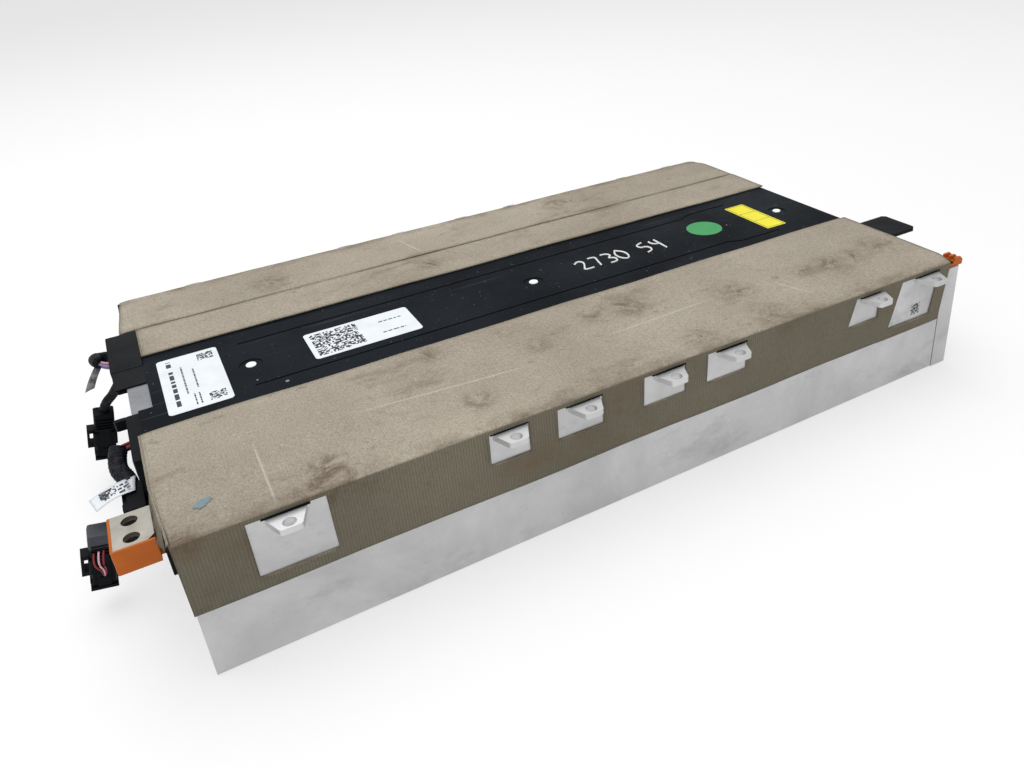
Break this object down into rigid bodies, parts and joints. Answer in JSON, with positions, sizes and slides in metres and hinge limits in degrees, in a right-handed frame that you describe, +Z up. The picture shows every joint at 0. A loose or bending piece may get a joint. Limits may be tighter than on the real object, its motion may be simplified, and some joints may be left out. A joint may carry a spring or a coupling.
{
  "type": "ev battery module",
  "caption": "EV traction battery module: long pouch cells in an aluminium tray with bolting lugs, glass-fabric fire shields, black cover strip, orange terminals and sense harness.",
  "frame": {"origin": "centre of the tray's flat underside, on the cooling face", "axes": "+X along the module towards the end with the flat flap, +Y towards the rear side wall, +Z up out of the cooling face"},
  "size_m": [0.7645, 0.4126, 0.108],
  "materials": {
    "aluminium": "satin",
    "steel": "satin",
    "cell_pouch": "satin",
    "foam": "matte",
    "gap_filler": "matte",
    "frame_plastic": "matte",
    "copper": "satin",
    "insulating_sheet": "matte",
    "flex_circuit": "satin",
    "black_cover": "satin",
    "white_plastic": "satin",
    "glass_fabric": "matte",
    "black_plastic": "satin",
    "galvanised": "satin",
    "orange_plastic": "satin",
    "plated_terminal": "satin",
    "harness_tape": "matte",
    "label_white": "satin",
    "label_yellow": "satin",
    "label_green": "satin",
    "wire_insulation": "satin",
    "marker": "matte"
  },
  "bodies": {
    "root": {"housing_tray": "aluminium", "front_mounting_lugs": "aluminium", "rear_mounting_lugs": "aluminium", "end_plate_left": "aluminium", "end_plate_right": "aluminium", "pouch_cell_01": "cell_pouch", "pouch_cell_02": "cell_pouch", "pouch_cell_03": "cell_pouch", "pouch_cell_04": "cell_pouch", "pouch_cell_05": "cell_pouch", "pouch_cell_06": "cell_pouch", "pouch_cell_07": "cell_pouch", "pouch_cell_08": "cell_pouch", "pouch_cell_09": "cell_pouch", "pouch_cell_10": "cell_pouch", "pouch_cell_11": "cell_pouch", "pouch_cell_12": "cell_pouch", "pouch_cell_13": "cell_pouch", "pouch_cell_14": "cell_pouch", "pouch_cell_15": "cell_pouch", "pouch_cell_16": "cell_pouch", "pouch_cell_17": "cell_pouch", "pouch_cell_18": "cell_pouch", "pouch_cell_19": "cell_pouch", "pouch_cell_20": "cell_pouch", "pouch_cell_21": "cell_pouch", "pouch_cell_22": "cell_pouch", "pouch_cell_23": "cell_pouch", "pouch_cell_24": "cell_pouch", "cell_pads": "foam", "thermal_pad": "gap_filler", "busbar_frame_left": "frame_plastic", "busbar_frame_right": "frame_plastic", "cover_spacers": "frame_plastic", "busbars_left": "copper", "busbars_right": "copper", "insulating_covers": "insulating_sheet", "sense_flex": "flex_circuit", "top_cover": "black_cover", "cover_plugs": "white_plastic", "front_fire_shield": "glass_fabric", "rear_fire_shield": "glass_fabric", "rear_shield_strip": "glass_fabric", "connector_box": "black_plastic", "end_cover_left": "black_plastic", "corner_guards": "black_plastic", "right_flap": "black_plastic", "harness_block": "black_plastic", "upper_connector": "black_plastic", "lower_connector": "black_plastic", "notch_bracket": "galvanised", "hv_terminal_nuts": "steel", "hv_terminal_housing_left": "orange_plastic", "hv_busbar_cap_right": "orange_plastic", "hv_terminal_plate_left": "plated_terminal", "upper_lead": "harness_tape", "lower_lead": "harness_tape", "harness_tube": "harness_tape", "harness_loop": "harness_tape"}
  },
  "joints": []
}
